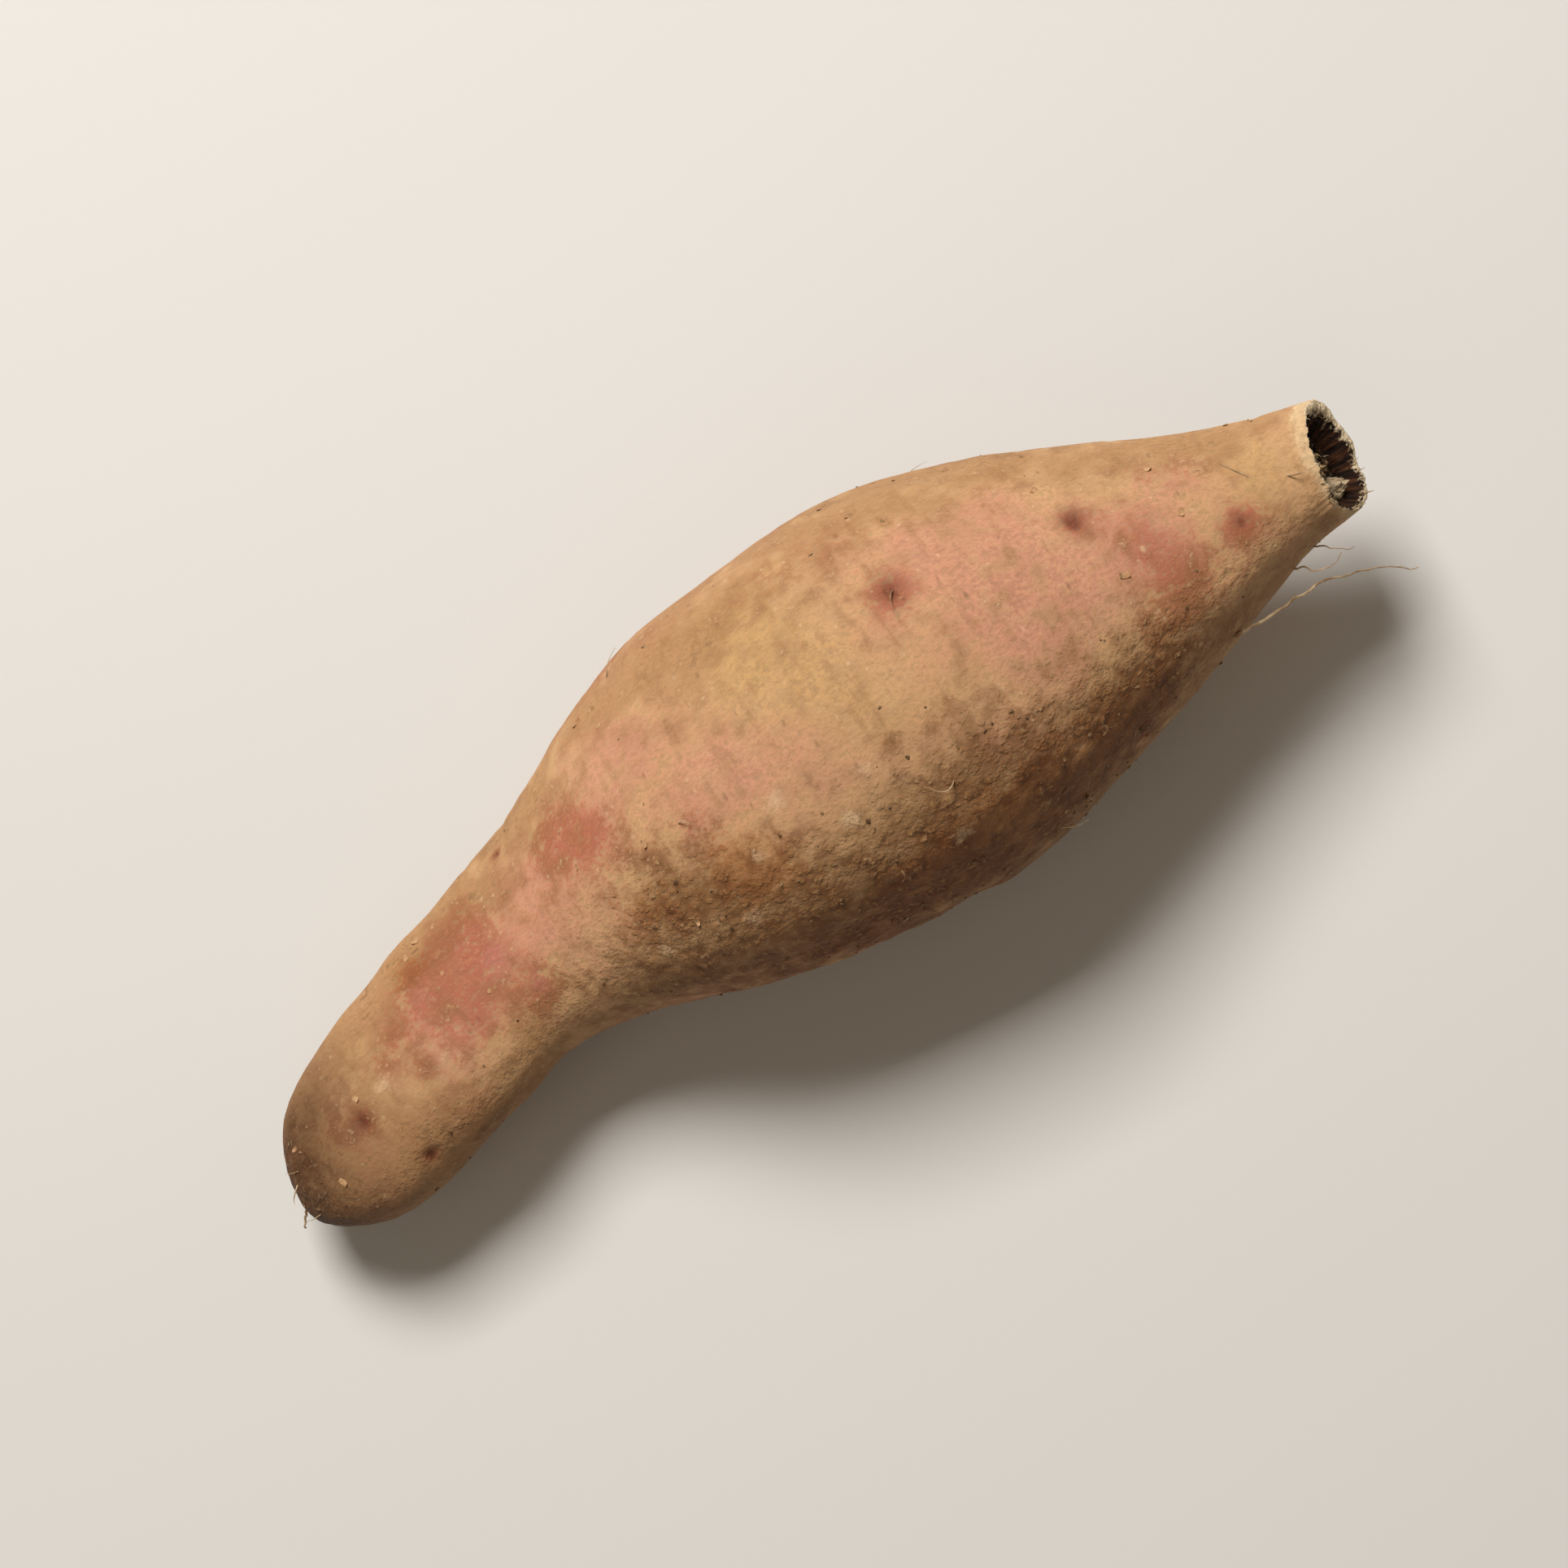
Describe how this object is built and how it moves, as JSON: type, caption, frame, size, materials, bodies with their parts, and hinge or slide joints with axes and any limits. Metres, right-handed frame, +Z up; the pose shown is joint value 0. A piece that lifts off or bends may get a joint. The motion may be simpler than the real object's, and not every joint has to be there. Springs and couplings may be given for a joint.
{
  "type": "sweet potato",
  "caption": "Whole raw sweet potato, a bent spindle with a blunt tail and a cut crown, lying on its side on a small flat spot.",
  "frame": {"origin": "on the surface that the root lies on, under the centre of its box", "axes": "+X along the root from its tail to its cut crown, +Y to the side that its middle bends to, +Z up"},
  "size_m": [0.2072, 0.0672, 0.0614],
  "materials": {
    "skin": "matte"
  },
  "bodies": {
    "root": {"sweet_potato": "skin"}
  },
  "joints": []
}
